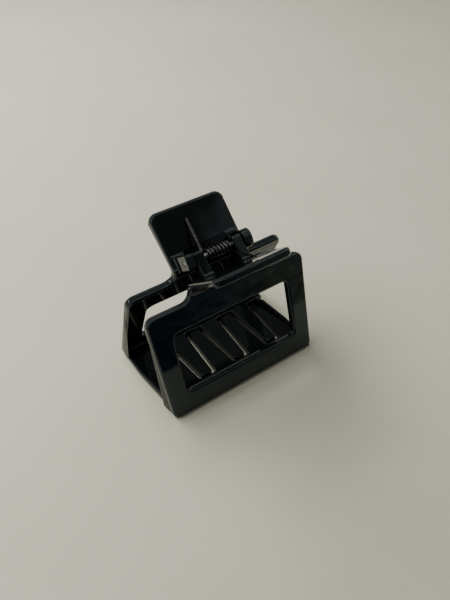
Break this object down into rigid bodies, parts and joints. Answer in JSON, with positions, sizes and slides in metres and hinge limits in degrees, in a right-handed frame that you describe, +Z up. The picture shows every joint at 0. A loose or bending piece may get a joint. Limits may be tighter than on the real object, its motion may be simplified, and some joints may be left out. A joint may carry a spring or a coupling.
{
  "type": "claw clip",
  "caption": "Rectangular spring-loaded hair claw clip: two open-framed moulded jaws with interlocking teeth, hinged on a pin between two finger tabs.",
  "frame": {"origin": "on the table plane, under the middle of the hinge pin, with the clip standing closed on its teeth", "axes": "+X along the hinge pin, +Y from the front jaw to the rear jaw, +Z up"},
  "size_m": [0.07, 0.0456, 0.0607],
  "materials": {
    "black_plastic": "high gloss, moulded",
    "pin_steel": "drawn wire",
    "spring_steel": "drawn spring wire"
  },
  "bodies": {
    "rear_jaw": {"rear_jaw": "black_plastic", "hinge_pin": "pin_steel", "torsion_spring": "spring_steel"},
    "front_jaw": {"front_jaw": "black_plastic"}
  },
  "joints": [
    {"name": "jaw_hinge", "type": "hinge", "parent": "rear_jaw", "child": "front_jaw", "pos_m": [0, 0, 0.052], "axis": [-1, 0, 0], "range_deg": [0, 80], "stiffness_Nm_per_rad": 0.1, "springref_deg": -29.79, "deforming": ["torsion_spring"]}
  ]
}
